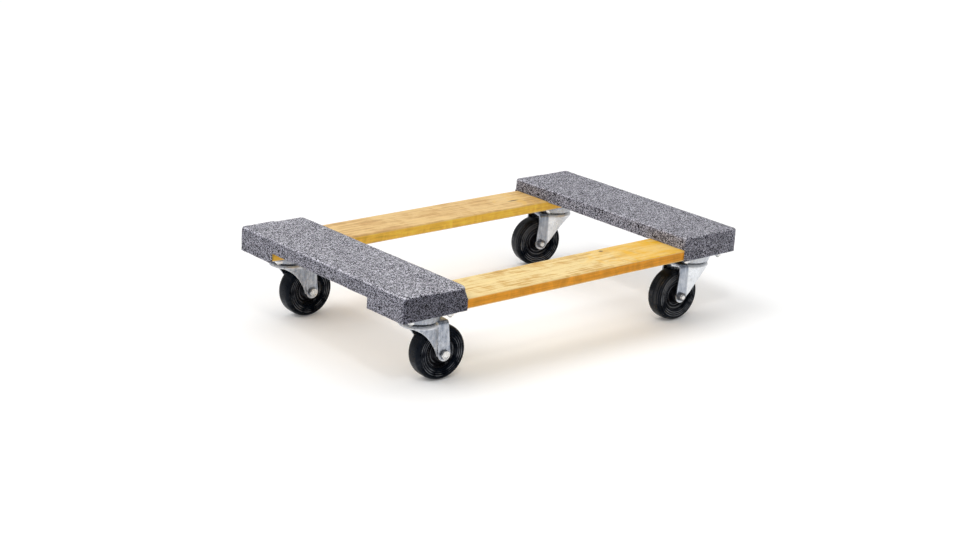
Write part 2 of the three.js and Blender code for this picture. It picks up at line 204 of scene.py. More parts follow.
class Nodes:
    """A material's node tree, wired in few words."""

    def __init__(self, name):
        self.material = bpy.data.materials.new(name)
        self.material.use_nodes = True
        self.tree = self.material.node_tree
        self.shader = self.tree.nodes["Principled BSDF"]

    def give(self, socket, value):
        """Links a socket to another node's output, or sets it."""
        if hasattr(value, "is_output"):
            self.tree.links.new(value, socket)
        else:
            socket.default_value = value

    def add(self, kind, inputs=None, **settings):
        node = self.tree.nodes.new("ShaderNode" + kind)
        for key, value in settings.items():
            setattr(node, key, value)
        for key, value in (inputs or {}).items():
            self.give(node.inputs[key], value)
        return node

    def place(self, scale=(1, 1, 1), shift=(0, 0, 0)):
        """Where a point is on its piece, in metres, scaled."""
        spot = self.add("TexCoord").outputs["Object"]
        mapping = self.add("Mapping", {"Vector": spot, "Scale": scale, "Location": shift})
        return mapping.outputs[0]

    def noise(self, place, scale, detail=2.0, roughness=0.5, distortion=0.0):
        inputs = {"Vector": place, "Scale": scale, "Detail": detail}
        inputs.update({"Roughness": roughness, "Distortion": distortion})
        return self.add("TexNoise", inputs).outputs[0]

    def cells(self, place, scale):
        """A random number from 0 to 1 for each of a scatter of small cells."""
        cells = self.add("TexVoronoi", {"Vector": place, "Scale": scale})
        return self.add("SeparateColor", {0: cells.outputs["Color"]}).outputs[0]

    def math(self, operation, a, b):
        return self.add("Math", {0: a, 1: b}, operation=operation).outputs[0]

    def total(self, *terms):
        """Values added up. Each is given alone or as (value, weight)."""
        values = [self.math("MULTIPLY", *term) if isinstance(term, tuple) else term for term in terms]
        result = values[0]
        for value in values[1:]:
            result = self.math("ADD", result, value)
        return result

    def spread(self, value, start, end, low=0.0, high=1.0):
        inputs = {"Value": value, 1: start, 2: end, 3: low, 4: high}
        return self.add("MapRange", inputs).outputs[0]

    def ramp(self, value, stops):
        node = self.add("ValToRGB", {0: value})
        slots = node.color_ramp.elements
        while len(slots) < len(stops):
            slots.new(0.5)
        for slot, (position, colour) in zip(slots, stops):
            slot.position = position
            slot.color = (*colour, 1)
        return node.outputs[0]

    def mix(self, share, a, b, blend="MIX"):
        """A share of b over a. Each is a colour or another node's output."""
        a, b = ((*colour, 1) if isinstance(colour, tuple) else colour for colour in (a, b))
        return self.add("Mix", {0: share, 6: a, 7: b}, data_type="RGBA", blend_type=blend).outputs[2]

    def attribute(self, name):
        return self.add("Attribute", attribute_name=name).outputs["Fac"]

    def bump(self, height, distance, strength, under=None):
        inputs = {"Height": height, "Distance": distance, "Strength": strength}
        if under is not None:
            inputs["Normal"] = under
        return self.add("Bump", inputs).outputs[0]

    def wire(self, **sockets):
        for key, value in sockets.items():
            self.give(self.shader.inputs[key.replace("_", " ")], value)
        return self.material


KNOT = (0.10, 0.055, 0.025)
# Colours of painted light on zinc: a painted reflection, and a painted highlight along rims.
PAINTED_REFLECTION_ZINC = (0.88, 0.90, 0.92)
PAINTED_HIGHLIGHT_ZINC = (0.93, 0.94, 0.96)
# Colours of painted highlights on black rubber and plastic: on crests, and in rings round the wheel.
PAINTED_CREST_HIGHLIGHT = (0.19, 0.20, 0.22)
PAINTED_RING_HIGHLIGHT = (0.10, 0.105, 0.12)


def scaled(colour, factor, most=1.0):
    return tuple(min(most, c * factor) for c in colour)


def carpet_material():
    """Salt and pepper carpet: yarn ends from near black to near white, with a cool cast, darkened by painted
    shade where the mesh asks for it.
    """
    n = Nodes("heather_carpet")
    spot = n.place()
    warp = n.add("TexNoise", {"Vector": spot, "Scale": 600.0, "Detail": 1.0}).outputs["Color"]
    bend = 1.8 * MM
    bent = n.add("VectorMath", {0: warp, 1: (bend, bend, bend)}, operation="MULTIPLY")
    loose = n.add("VectorMath", {0: spot, 1: bent.outputs[0]}, operation="ADD").outputs[0]
    ends = n.cells(loose, 740.0)
    strands = n.cells(loose, 1400.0)
    fine = n.noise(loose, 1100.0, 2.0, 0.7)
    broad = n.noise(spot, 26.0, 3.0, 0.6)
    tone = n.total((ends, 0.70), (strands, 0.26), n.spread(fine, 0.25, 0.75, -0.16, 0.16),
                   n.spread(broad, 0.3, 0.7, 0.0, 0.06), (n.attribute("worn"), 0.12))
    colour = n.ramp(tone, (
        (0.26, (0.004, 0.004, 0.010)),
        (0.41, (0.026, 0.025, 0.040)),
        (0.50, (0.19, 0.187, 0.225)),
        (0.60, (0.46, 0.45, 0.51)),
        (0.74, (0.95, 0.94, 1.0)),
    ))
    # The painted shade darkens the colour, a little less in blue.
    dim = n.math("SUBTRACT", 1.0, n.attribute("painted_shade"))
    cool = n.add("CombineColor", {0: dim, 1: dim, 2: n.math("POWER", dim, 0.9)}).outputs[0]
    colour = n.mix(1.0, colour, cool, "MULTIPLY")
    normal = n.bump(n.total((ends, 0.6), fine), 1.2 * MM, 0.6)
    return n.wire(Base_Color=colour, Roughness=n.spread(fine, 0.3, 0.7, 0.82, 0.98),
                  Normal=normal, Specular_IOR_Level=0.15, Sheen_Weight=0.2, Sheen_Roughness=0.45)


def wood_material(name, seed, light, tan, golden, edge, gold_from, gold_to, marks=()):
    """Clear-lacquered hardwood with its grain along x, which turns golden from gold_from to gold_to.

    edge is the colour of its sides and ends. marks are (x, y, length, width, depth): small dark flaws.
    """
    n = Nodes(name)
    shift = (seed, seed * 0.37, seed * 0.71)
    flat = n.place((2.4, 7.0, 7.0), shift)
    figure = n.noise(flat, 4.0, 5.0, 0.6, 1.6)
    rings = n.add("TexWave", {
        "Vector": n.place((0.8, 11.0, 11.0), shift),
        "Scale": 2.4, "Distortion": 9.0, "Detail": 3.0, "Detail Scale": 1.0, "Detail Roughness": 0.6,
    }, bands_direction="Y").outputs["Fac"]
    fibre = n.noise(n.place((11.0, 300.0, 300.0), shift), 1.0, 5.0, 0.7, 0.4)
    pores = n.noise(n.place((90.0, 1500.0, 1500.0), shift), 1.0)
    mottle = n.noise(n.place((1.0, 0.55, 0.55), shift), 42.0, 3.0, 0.6, 0.8)
    tone = n.total((figure, 0.40), (rings, 0.05), (fibre, 0.42), (mottle, 0.20))
    pale = scaled(light, 1.08, 0.9)
    base = n.ramp(tone, ((0.40, scaled(tan, 0.8)), (0.47, tan), (0.54, light), (0.64, pale)))
    along = n.add("SeparateXYZ", {0: n.add("TexCoord").outputs["Object"]}).outputs[0]
    gold = n.spread(n.total(along, n.spread(mottle, 0.3, 0.7, -0.09, 0.09)), gold_from, gold_to)
    uneven = n.spread(n.total(figure, (fibre, 0.5)), 0.62, 0.86, 1.0, 0.5)
    gold = n.math("MULTIPLY", gold, uneven)
    base = n.mix(gold, base, golden)
    streaks = n.total((fibre, 0.6), (mottle, 0.45))
    side = n.ramp(streaks, ((0.40, scaled(edge, 0.76)), (0.52, edge), (0.66, scaled(edge, 1.3, 0.95))))
    on_edge = n.attribute("edge")
    base = n.mix(on_edge, base, side)
    # A painted highlight along the eased edge, where on_edge is about a half, makes it paler.
    eased = n.math("MULTIPLY", on_edge, n.math("SUBTRACT", 2.2, n.math("MULTIPLY", on_edge, 2.2)))
    base = n.mix(eased, base, pale)
    dark = n.spread(pores, 0.62, 0.72, 0.0, 0.25)
    colour = n.mix(dark, base, scaled(tan, 0.6))
    for x, y, length, width, depth in marks:
        near = n.place((1 / length, 1 / width, 0.0), (-x / length, -y / width, 0.0))
        ragged = n.add("VectorMath", {0: near}, operation="LENGTH").outputs["Value"]
        ragged = n.total(ragged, n.spread(fibre, 0.3, 0.7, -0.35, 0.35))
        colour = n.mix(n.spread(ragged, 0.5, 1.1, depth, 0.0), colour, KNOT)
    normal = n.bump(n.total(fibre, (pores, -0.8)), 0.2 * MM, 0.35)
    return n.wire(Base_Color=colour, Roughness=n.spread(figure, 0.3, 0.7, 0.32, 0.46), Normal=normal,
                  Specular_IOR_Level=0.4, IOR=1.24)


def metal_material(name, colour, cast, rough, wear, painted_reflection=0.0):
    """Plated steel: cloudy plating, rubbing marks, dull patches and the waviness of a pressed sheet, with a
    painted reflection and a painted highlight where the mesh asks for them.
    """
    n = Nodes(name)
    spot = n.place()
    cloud = n.noise(spot, 60.0, 4.0, 0.65)
    patch = n.noise(spot, 230.0, 3.0, 0.6)
    rub = n.noise(n.place((1.0, 1.0, 0.15)), 620.0, 3.0, 0.7)
    streak = n.noise(n.place((1.0, 1.0, 0.10)), 210.0, 3.0, 0.7)
    rim = n.attribute("rim")
    base = n.mix(n.spread(cloud, 0.38, 0.62), colour, cast)
    base = n.mix(n.spread(streak, 0.44, 0.64, 0.0, 0.55), base, scaled(colour, 1.5))
    # A painted reflection brightens the plating where the mesh asks for it, by the given share.
    base = n.mix(n.math("MULTIPLY", n.attribute("painted_reflection"), painted_reflection), base, PAINTED_REFLECTION_ZINC)
    # A painted highlight brightens the rim that the mesh marks.
    base = n.mix(n.math("MULTIPLY", rim, 0.7), base, PAINTED_HIGHLIGHT_ZINC)
    base = n.mix(n.spread(patch, 0.52, 0.7, 0.0, wear), base, scaled(colour, 0.5))
    gloss = n.total(n.spread(cloud, 0.3, 0.7, rough - 0.08, rough + 0.08),
                    n.spread(rub, 0.4, 0.7, 0.0, 0.12), (rim, 0.22))
    wavy = n.bump(cloud, 0.7 * MM, 0.5)
    normal = n.bump(n.total(rub, (patch, 0.8)), 0.08 * MM, 0.6, wavy)
    return n.wire(Base_Color=base, Metallic=1.0, Roughness=gloss, Normal=normal)


def dark_material(name, colour, dust, rough, grain):
    """Black rubber or plastic: a moulded skin with dust, painted highlights on its crests and painted
    highlight rings round the wheel.
    """
    n = Nodes(name)
    spot = n.place()
    scuff = n.noise(n.place((1.0, 0.25, 1.0)), 240.0, 4.0, 0.65)
    cloud = n.noise(spot, 60.0, 3.0, 0.6)
    skin = n.noise(spot, 1400.0, 2.0, 0.6)
    dusty = n.spread(n.math("MULTIPLY", scuff, cloud), 0.22, 0.45, 0.0, 0.8)
    base = n.mix(dusty, colour, dust)
    # A painted highlight on the crests, broken into patches.
    highlight_patches = n.spread(n.noise(spot, 45.0, 2.0, 0.6), 0.40, 0.60)
    base = n.mix(n.math("MULTIPLY", n.attribute("painted_crest_highlight"), highlight_patches), base, PAINTED_CREST_HIGHLIGHT)
    # Painted highlight rings: their noise follows only a point's reach from the axle and its place along it,
    # so they run round the wheel.
    reach = n.add("VectorMath", {0: n.place((1.0, 1.0, 0.0))}, operation="LENGTH").outputs["Value"]
    along = n.add("SeparateXYZ", {0: spot}).outputs[2]
    lines = n.noise(n.add("CombineXYZ", {0: reach, 1: along}).outputs[0], 900.0, 2.0, 0.6)
    where = n.spread(n.noise(spot, 34.0, 3.0, 0.65), 0.52, 0.66)
    painted_rings = n.math("MULTIPLY", n.spread(lines, 0.50, 0.62), where)
    base = n.mix(n.math("MULTIPLY", painted_rings, 0.7), base, PAINTED_RING_HIGHLIGHT)
    gloss = n.total(n.spread(cloud, 0.3, 0.7, rough - 0.08, rough + 0.08),
                    n.spread(scuff, 0.5, 0.75, 0.0, 0.15))
    normal = n.bump(n.total(skin, scuff), grain, 0.5)
    return n.wire(Base_Color=base, Roughness=gloss, Normal=normal, Specular_IOR_Level=0.2, IOR=1.3)


CARPET = carpet_material()
# Only the right ends of the rails are golden.
WOOD_NEAR = wood_material("hardwood_near", 1.7, (0.83, 0.64, 0.30), (0.66, 0.39, 0.10), (0.84, 0.46, 0.02),
                          (0.68, 0.28, 0.022), 0.04, 0.20, ((0.118, -0.150, 0.005, 0.004, 0.9),))
WOOD_FAR = wood_material("hardwood_far", 4.3, (0.77, 0.53, 0.23), (0.62, 0.36, 0.12), (0.76, 0.46, 0.10),
                         (0.90, 0.52, 0.07), 0.20, 0.27, ((0.197, 0.174, 0.013, 0.003, 0.9),))
# A crossboard's ends are far short of where it would turn golden.
WOOD_CROSS = wood_material("hardwood_cross", 7.9, (0.74, 0.55, 0.28), (0.66, 0.44, 0.2), (0.7, 0.45, 0.15),
                           (0.6, 0.36, 0.12), 9.0, 10.0)
# The right pair's forks and plates get a strong painted reflection, the left pair's a faint one; the left
# pair also has more dull patches.
ZINC = {
    "left": metal_material("zinc_plate_dull", (0.40, 0.42, 0.46), (0.20, 0.23, 0.29), 0.24, 0.6, 0.05),
    "right": metal_material("zinc_plate_painted_reflection", (0.39, 0.41, 0.45), (0.24, 0.27, 0.33), 0.25, 0.2, 0.75),
}
DULL_STEEL = metal_material("dull_steel", (0.20, 0.20, 0.21), (0.08, 0.08, 0.09), 0.30, 0.7)
STEEL = metal_material("plated_steel", (0.78, 0.77, 0.75), (0.60, 0.60, 0.60), 0.22, 0.5)
BALL_STEEL = metal_material("greased_steel", (0.60, 0.60, 0.60), (0.45, 0.43, 0.40), 0.16, 0.6)
RUBBER = dark_material("black_rubber", (0.001, 0.003, 0.007), (0.010, 0.013, 0.020), 0.28, 0.12 * MM)
PLASTIC = dark_material("black_core", (0.003, 0.003, 0.005), (0.012, 0.012, 0.015), 0.42, 0.08 * MM)

# -------- boards


def edge_share(points, low, high, reach):
    """1 on the sides and ends of a board, falling to 0 on its top and bottom faces."""
    depth = np.minimum(points[:, 2] - low[2], high[2] - points[:, 2])
    return smooth_step(depth, 0.3 * reach, reach)


def set_attribute(mesh, name, values):
    attribute = mesh.attributes.new(name, "FLOAT", "POINT")
    attribute.data.foreach_set("value", np.asarray(values, dtype=np.float32))


def rail_mesh(node, seed):
    """A board with eased edges that wobble a little, as sanded ones do."""
    low, high = (np.array(corner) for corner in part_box(node))
    eased, end_round, hollow = 2.4 * MM, 7.5 * MM, 0.12 * MM
    fine = 0.8 * MM
    xs = ticks([low[0], low[0] + end_round, high[0] - end_round, high[0]], [fine, 7 * MM, fine])
    ys = ticks([low[1], low[1] + end_round, high[1] - end_round, high[1]], [fine, 6 * MM, fine])
    zs = ticks([low[2], low[2] + eased, high[2] - eased, high[2]], [0.6 * MM, 3 * MM, 0.6 * MM])
    points, faces = box_grid(xs, ys, zs, lambda side, a, b: True)
    wobble = 1 + 0.25 * lumps(points * (1, 0.2, 0.2), 50 * MM, seed)
    radius = np.outer(wobble, (end_round, eased, eased))
    # The long edges are rounded more towards the ends.
    to_end = np.minimum(points[:, 0] - low[0], high[0] - points[:, 0])
    radius[:, 1] += (end_round - eased) * smooth_step(-to_end, -20 * MM, -9 * MM)
    points = rounded(points, low, high, radius)
    normals = point_normals(points, faces)
    points -= normals * (hollow * (1 + lumps(points * (1, 2.5, 2.5), 90 * MM, seed + 1)))[:, None]
    mesh = make_mesh(node + "_board", points, faces, 80)
    set_attribute(mesh, "edge", edge_share(points, low, high, 2.6 * MM))
    return mesh


for rail_name, wood, rail_seed in (("rail_near", WOOD_NEAR, 11), ("rail_far", WOOD_FAR, 23)):
    piece(rail_name + "_board", rail_mesh(rail_name, rail_seed), wood, "deck", [rail_name])

# The crossboards keep their CAD shape, inside the carpet.
for side_name in SIDES:
    board = frame["nodes"]["crossboard_" + side_name]
    for slot in board.material_slots:
        slot.material = WOOD_CROSS

# -------- carpet

PILE_STEP = 1.9 * MM
TOP_THICK, SIDE_THICK = 3.8 * MM, 2.6 * MM
# How round a pad is: its top edges, and seen from above its outer corners and its inner ones' tops.
PAD_ROUNDS = {"left": (7.5 * MM, 5 * MM, 12 * MM), "right": (4 * MM, 6 * MM, 4 * MM)}
INNER_FOOT = 3 * MM
FOLD_ROUND = 2.8 * MM
FOLD_STEP, FOLD_STEPS = 2 * MM, 11
FOLD_PULL = 0.01
EDGE_ZONE = 10 * MM
SKIRT_OVERLAP = 3 * MM
GROOVE_PLACE, GROOVE_WIDTH, GROOVE_DEPTH = 4.5 * MM, 1.1 * MM, 0.9 * MM
TOUCH = 0.001 * MM
# How much painted shade darkens a pad on its top, its walls and its ends.
PAD_PAINTED_SHADES = {"left": (0.18, 0.55, 0.78), "right": (0.30, 0.50, 0.57)}


def fold_under(points, faces, row, inward, turn_out):
    """Adds the strip that goes on from a wall's bottom row, round a fold and in under the crossboard."""
    angles = np.linspace(0, math.pi / 2, 5)[1:]
    bend = [(FOLD_ROUND * (1 - math.cos(a)), FOLD_ROUND * math.sin(a)) for a in angles]
    flat = [(FOLD_ROUND + FOLD_STEP * i, FOLD_ROUND) for i in range(1, FOLD_STEPS + 1)]
    strips, top = [points], list(row)
    count = len(points)
    for reach, drop in bend + flat:
        strip = points[row].copy()
        strip[:, 0] += inward * reach
        strip[:, 1] *= 1 - FOLD_PULL * min(1, drop / FOLD_ROUND)
        strip[:, 2] -= drop
        strips.append(strip)
        below = list(range(count, count + len(row)))
        for j in range(len(row) - 1):
            face = (top[j], top[j + 1], below[j + 1], below[j])
            faces.append(face[::-1] if turn_out else face)
        top = below
        count += len(row)
    return np.vstack(strips), faces


def carpet_cells(side_name, low, high, board_low, skirt_y):
    """The sharp-edged outside of a wrap: a box with no bottom, and walls cut short between the rails."""
    top_round = PAD_ROUNDS[side_name][0]
    fine = 1.25 * MM
    xs = ticks([low[0], low[0] + EDGE_ZONE, high[0] - EDGE_ZONE, high[0]], [fine, PILE_STEP, fine])
    ys = ticks([low[1], low[1] + EDGE_ZONE, -skirt_y, skirt_y, high[1] - EDGE_ZONE, high[1]],
               [fine, PILE_STEP, PILE_STEP, PILE_STEP, fine])
    zs = ticks([low[2], board_low, high[2] - top_round, high[2]], [PILE_STEP, PILE_STEP, fine])
    outer_side, inner_side = ("x+", "x-") if SIDES[side_name] > 0 else ("x-", "x+")

    def keep(face_side, a, b):
        if face_side == "z-":
            return False
        below = 0.5 * (a[2] + b[2]) < board_low
        if face_side == inner_side:
            return not below
        if face_side == outer_side:
            return not (below and abs(0.5 * (a[1] + b[1])) < skirt_y)
        return True

    return box_grid(xs, ys, zs, keep)


def carpet_mesh(side_name):
    """A wrap as one closed sheet. Also gives the points along its hem, and which way they face."""
    side = SIDES[side_name]
    low, high = (np.array(corner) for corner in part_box("carpet_" + side_name))
    skirt_y = -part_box("rail_near")[1][1] - SKIRT_OVERLAP
    board_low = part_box("crossboard_" + side_name)[0][2]
    outer_x, inner_x = (high[0], low[0]) if side > 0 else (low[0], high[0])
    top_round, outer_round, inner_round = PAD_ROUNDS[side_name]
    top_shade, wall_shade, end_shade = PAD_PAINTED_SHADES[side_name]
    sharp, faces = carpet_cells(side_name, low, high, board_low, skirt_y)
    near_inner = np.abs(sharp[:, 0] - inner_x) < np.abs(sharp[:, 0] - outer_x)
    growing = smooth_step(sharp[:, 2], board_low, high[2] - top_round)
    growing = INNER_FOOT + (inner_round - INNER_FOOT) * growing
    plan = np.where(near_inner, growing, outer_round)
    radius = np.stack([plan, plan, np.full(len(sharp), top_round)], axis=1)
    points = rounded(sharp, low - (0, 0, top_round), high, radius)
    flat = near_inner & (sharp[:, 2] <= board_low + TOUCH)
    points[flat] = sharp[flat]

    for wall_x, inward, turn_out in ((low[0], 1, False), (high[0], -1, True)):
        on_row = (np.abs(sharp[:, 0] - wall_x) < TOUCH) & (np.abs(sharp[:, 2] - board_low) < TOUCH)
        row = np.nonzero(on_row & (np.abs(sharp[:, 1]) < skirt_y + TOUCH))[0]
        row = row[np.argsort(sharp[row, 1])]
        points, faces = fold_under(points, faces, row, inward, turn_out)
        sharp = np.vstack([sharp, points[len(sharp):]])

    normals = point_normals(points, faces)
    swell = 0.35 * MM * lumps(points, 45 * MM, 5 + side) + 0.2 * MM * lumps(points, 16 * MM, 7 + side)
    # A groove in each end shows where the carpet is folded round the outer corner.
    on_end = np.abs(normals[:, 1]) > 0.7
    from_outer = np.abs(sharp[:, 0] - outer_x)
    groove = np.exp(-((from_outer - GROOVE_PLACE) / GROOVE_WIDTH) ** 2) * on_end
    groove = groove * (points[:, 2] < high[2] - 5 * MM)
    hem = 1 - smooth_step(sharp[:, 2], low[2], low[2] + 6 * MM)
    points[:, 2] += hem * 0.5 * MM * lumps(points, 7 * MM, 31 + side)
    thick = SIDE_THICK + (TOP_THICK - SIDE_THICK) * normals[:, 2].clip(0, 1)
    backing = points - normals * thick[:, None]
    pile = 0.16 * MM * lumps(points, 2.6 * MM, 41 + side) + 0.22 * MM * lumps(points, 1.5 * MM, 43 + side)
    points += normals * (swell + pile - GROOVE_DEPTH * groove - 0.2 * MM)[:, None]

    everything, closed = shell(points, backing, faces)
    mesh = make_mesh("carpet_" + side_name + "_wrap", everything, closed, 75)
    curve = smooth_step(np.abs(normals).max(axis=1), 0.97, 0.75)
    worn = curve * 0.8 + groove * 0.5
    set_attribute(mesh, "worn", np.concatenate([worn, np.zeros(len(backing))]))
    # Painted shade: the walls are darker than the top, and the ends darkest, where less light falls.
    wall = smooth_step(-normals[:, 2], -0.75, -0.25)
    walls = wall_shade + (end_shade - wall_shade) * on_end
    painted_shade = top_shade + (walls - top_shade) * wall
    set_attribute(mesh, "painted_shade", np.concatenate([painted_shade, np.full(len(backing), 0.5)]))
    on_hem = sharp[:, 2] <= low[2] + TOUCH
    return mesh, points[on_hem], normals[on_hem]


def fringe_mesh(name, roots, outward, seed):
    """Loose fibres that stand out of some of a hem's points: thin bent spikes, each one closed."""
    share = 0.35
    rng = np.random.default_rng(seed)
    points, faces = [], []
    for root, out in zip(roots, outward):
        if rng.random() > share:
            continue
        length = rng.uniform(1.2, 2.8) if rng.random() < 0.93 else rng.uniform(3.5, 6)
        lean = rng.normal(0, 0.45, 3)
        way = np.array([0, 0, -1.0]) + out * rng.uniform(-0.3, 0.5) + lean
        way /= np.linalg.norm(way)
        curl = rng.normal(0, 0.5, 3)
        first = len(points)
        thick = rng.uniform(0.10, 0.18)
        for step in range(4):
            part = step / 3
            centre = root - out * 0.8 * MM + (way * part + curl * part * part * 0.5) * length * MM
            for corner in range(3):
                angle = corner * math.tau / 3
                spoke = np.array([math.cos(angle), math.sin(angle), 0.3 * math.sin(angle + 1)])
                points.append(centre + spoke * thick * (1 - 0.7 * part) * MM)
        for step in range(3):
            for corner in range(3):
                a, b = first + step * 3 + corner, first + step * 3 + (corner + 1) % 3
                faces.append((a, b, b + 3, a + 3))
        faces.append((first + 2, first + 1, first))
        faces.append((first + 9, first + 10, first + 11))
    mesh = make_mesh(name, points, faces)
    set_attribute(mesh, "worn", np.full(len(points), 0.6))
    # The fibres get an even painted shade.
    set_attribute(mesh, "painted_shade", np.full(len(points), 0.3))
    return mesh


for side_name, side in SIDES.items():
    wrap_mesh, hem_points, hem_normals = carpet_mesh(side_name)
    node = "carpet_" + side_name
    wrap = piece(node + "_wrap", wrap_mesh, CARPET, "deck", [node])
    fringe_name = node + "_fringe"
    fibres = fringe_mesh(fringe_name, hem_points, hem_normals, 61 + side)
    fringe = piece(fringe_name, fibres, CARPET, "deck")

# -------- turned parts

BOLT_COLUMNS = 48


def ring(z, radius, columns, hexed=False, chamfer=None, lean=0):
    """One round of a turned part, or of a hexagon round that radius.

    lean, 1 or -1, bends a hexagon's corners up or down by 30 degrees outside the chamfer radius.
    """
    angle = np.arange(columns) * math.tau / columns
    reach = np.full(columns, float(radius))
    height = np.full(columns, float(z))
    if hexed:
        third = math.pi / 3
        reach = radius / np.cos((angle + third / 2) % third - third / 2)
        height = z + lean * np.maximum(0, reach - chamfer) * math.tan(math.radians(30))
    return np.stack([reach * np.cos(angle), reach * np.sin(angle), height], axis=1)


def turned(rings, closed_loop=False):
    """A solid from rings that follow its outline. Where it isn't a loop, both ends close in a point."""
    columns = len(rings[0])
    points = np.vstack(rings)
    faces = []
    spans = len(rings) if closed_loop else len(rings) - 1
    for row in range(spans):
        a, b = row * columns, (row + 1) % len(rings) * columns
        for i in range(columns):
            j = (i + 1) % columns
            faces.append((a + i, a + j, b + j, b + i))
    if not closed_loop:
        tips = np.array([rings[0].mean(axis=0), rings[-1].mean(axis=0)])
        start, end = len(points), len(points) + 1
        points = np.vstack([points, tips])
        last = (len(rings) - 1) * columns
        for i in range(columns):
            j = (i + 1) % columns
            faces.append((i, start, j))
            faces.append((last + i, last + j, end))
    return points, faces


def turned_mesh(name, outline, columns, closed_loop=False, sharp=30):
    """outline is a list of (height, radius), from the bottom up, or round a loop."""
    points, faces = turned(rounds(outline, columns), closed_loop)
    return make_mesh(name, points * MM, faces, sharp)


def thread(start, end, radius, pitch, depth):
    """The outline of a screw thread's crests and roots between two heights."""
    outline, z = [], start
    step = math.copysign(pitch, end - start)
    while (end - z - step) * step >= 0:
        outline += [(z, radius - depth), (z + 0.5 * step, radius)]
        z += step
    return outline + [(z, radius - depth)]


def hex_rings(bottom, top, inradius, top_chamfer=True):
    """The rings of a hexagon's side faces, with the curved chamfers that a turned one has."""
    flat = inradius * 0.96
    rings = [ring(bottom, flat, BOLT_COLUMNS), ring(bottom, inradius, BOLT_COLUMNS, True, flat, 1)]
    if not top_chamfer:
        return rings + [ring(top, inradius, BOLT_COLUMNS, True, flat, 0)]
    return rings + [ring(top, inradius, BOLT_COLUMNS, True, flat, -1), ring(top, flat, BOLT_COLUMNS)]


def rounds(outline, columns=BOLT_COLUMNS):
    return [ring(z, r, columns) for z, r in outline]


# -------- caster parts, in millimetres

AXLE_AT = JOINTS["near_left_wheel_spin"]["pos_m"]
AXLE_HEIGHT = AXLE_AT[2] / MM
TRAIL = math.dist(AXLE_AT[:2], JOINTS["near_left_swivel_turn"]["pos_m"][:2]) / MM
CROWN_TOP = 105.0
CROWN_RADIUS = 33.0
CROWN_REAR = 43.0
CROWN_BEND = 6.0
LIP = CROWN_TOP - 6.5
SHEET = 2.8
LEG_HALF = 23.5
LEG_TIP = 11.5
TIP_START = -0.8 * math.pi
CREASE_X = TRAIL - 12
FOOT_Z = AXLE_HEIGHT - LEG_TIP - 5
KINGPIN_HOLE = 6.4
# How the fork's sheet is divided: columns round the crown's edge, rows from the hole outwards and down.
REAR_COLUMNS, SIDE_COLUMNS, ARC_COLUMNS = 10, 18, 84
CROWN_ROWS, BEND_ROWS, WALL_ROWS = 5, 6, 18
EDGE_ROW = CROWN_ROWS + BEND_ROWS
FIRST_ARC = REAR_COLUMNS + SIDE_COLUMNS
LAST_ARC = FIRST_ARC + ARC_COLUMNS


def spokes(angles):
    return np.stack([np.cos(angles), np.sin(angles)], axis=1)


def level(plan, z):
    """Points seen from above, all put at one height."""
    return np.column_stack([plan, np.full(len(plan), z)])


def bezier(p0, p1, p2, p3, t):
    s = 1 - t
    return s**3 * p0 + 3 * s * s * t * p1 + 3 * s * t * t * p2 + t**3 * p3


def tip_point(angle):
    """A point on a leg's round tip, seen from the side."""
    return np.array([TRAIL + LEG_TIP * math.cos(angle), AXLE_HEIGHT + LEG_TIP * math.sin(angle)])


def fork_outline():
    """The lower front edge of a leg seen from the side, from its tip up to the crown's lip."""
    tip_pull = np.array([TRAIL - 25, AXLE_HEIGHT + 18])
    lip_pull = np.array([-2, AXLE_HEIGHT + 44])
    pulls = (tip_point(TIP_START), tip_pull, lip_pull, np.array([-24, LIP]))
    return np.array([bezier(*pulls, t) for t in np.linspace(0, 1, 200)])


FRONT_EDGE = fork_outline()


def ruling_end(top, foot):
    """Where the line from the crown to the foot point meets the leg's front edge."""
    share = np.linspace(0, 1, 2000)[:, None]
    line = top + (foot - top) * share
    lower = np.interp(line[:, 0], FRONT_EDGE[::-1, 0], FRONT_EDGE[::-1, 1])
    below = np.nonzero(line[:, 2] <= lower)[0]
    return line[below[0]] if len(below) else line[-1]


def tip_path(crease_end, count):
    """Even steps along a leg's edge, from the crease round its tip to its rear corner."""
    path = [np.array([crease_end[0], crease_end[2]])]
    path += [p for p in FRONT_EDGE[::-1] if p[0] > crease_end[0] + 0.05]
    path += [tip_point(angle) for angle in np.linspace(TIP_START, 0, 40)[1:]]
    path.append(np.array([TRAIL + LEG_TIP, AXLE_HEIGHT + 2]))
    path = np.array(path)
    far = np.concatenate([[0], np.cumsum(np.linalg.norm(np.diff(path, axis=0), axis=1))])
    even = np.linspace(0, far[-1], count + 1)
    return np.stack([np.interp(even, far, path[:, 0]), np.interp(even, far, path[:, 1])], axis=1)


def crown_loop(pull):
    """The crown's outline, pulled in: its rear edge, one straight side, the round front, the other side."""
    radius, half = CROWN_RADIUS - pull, LEG_HALF - pull
    start = math.asin(half / radius)
    corner_x = radius * math.cos(start)
    side = (CROWN_REAR - corner_x) / SIDE_COLUMNS
    loop = [(CROWN_REAR, -half + 2 * half * i / REAR_COLUMNS) for i in range(REAR_COLUMNS)]
    loop += [(CROWN_REAR - side * i, half) for i in range(SIDE_COLUMNS)]
    for i in range(ARC_COLUMNS):
        angle = start + (math.tau - 2 * start) * i / ARC_COLUMNS
        loop.append((radius * math.cos(angle), radius * math.sin(angle)))
    loop += [(corner_x + side * i, -half) for i in range(SIDE_COLUMNS)]
    return np.array(loop)


